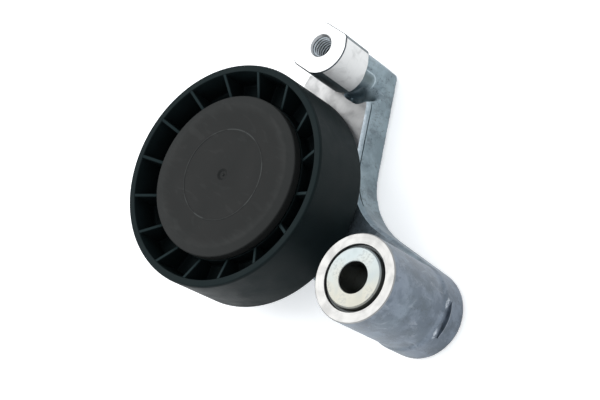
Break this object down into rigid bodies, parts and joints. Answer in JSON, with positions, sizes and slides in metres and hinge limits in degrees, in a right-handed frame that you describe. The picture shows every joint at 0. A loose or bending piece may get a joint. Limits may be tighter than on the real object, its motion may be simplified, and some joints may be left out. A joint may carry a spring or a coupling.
{
  "type": "belt tensioner idler",
  "caption": "Cast lever on a bushed pivot sleeve, with a threaded strut boss and a ribbed smooth idler pulley on a ball bearing.",
  "frame": {"origin": "on the pivot axis, at the rear end face of the pivot sleeve", "axes": "+Z along the pivot and pulley axes towards the pulley's open front, +Y from the pivot axis to the pulley axis, +X to the threaded strut boss"},
  "size_m": [0.1028, 0.1272, 0.0456],
  "materials": {
    "cast_aluminium": "die cast, with machined faces",
    "zinc_steel": "zinc plated",
    "bearing_steel": "ground",
    "pulley_nylon": "moulded, glass filled",
    "cap_nylon": "moulded",
    "bush_polymer": "bearing polymer",
    "seal_rubber": "matte",
    "cage_polymer": "moulded",
    "pressed_steel": "pressed"
  },
  "bodies": {
    "pivot_sleeve": {"pivot_sleeve": "zinc_steel"},
    "lever": {"lever_arm": "cast_aluminium", "front_bush": "bush_polymer", "rear_bush": "bush_polymer", "front_seal_ring": "seal_rubber", "rear_seal_ring": "seal_rubber", "pulley_bolt": "zinc_steel", "bolt_washer": "zinc_steel", "hub_spacer": "zinc_steel", "bearing_inner_ring": "bearing_steel", "rear_dust_shield": "pressed_steel"},
    "pulley": {"pulley_body": "pulley_nylon", "dust_cap": "cap_nylon", "bearing_outer_ring": "bearing_steel", "front_bearing_seal": "seal_rubber", "rear_bearing_seal": "seal_rubber"},
    "ball_cage": {"bearing_cage": "cage_polymer", "ball_1": "bearing_steel", "ball_2": "bearing_steel", "ball_3": "bearing_steel", "ball_4": "bearing_steel", "ball_5": "bearing_steel", "ball_6": "bearing_steel", "ball_7": "bearing_steel"}
  },
  "joints": [
    {"name": "lever_swing", "type": "hinge", "parent": "pivot_sleeve", "child": "lever", "pos_m": [0, 0, 0], "axis": [0, 0, 1], "range_deg": [-12, 12]},
    {"name": "pulley_spin", "type": "hinge", "parent": "lever", "child": "pulley", "pos_m": [0, 0.072, 0.0292], "axis": [0, 0, 1], "continuous": true},
    {"name": "cage_spin", "type": "hinge", "parent": "lever", "child": "ball_cage", "pos_m": [0, 0.072, 0.0262], "axis": [0, 0, 1], "continuous": true}
  ],
  "couplings": [
    {"joint": "cage_spin", "follows": "pulley_spin", "ratio": 0.6364}
  ]
}
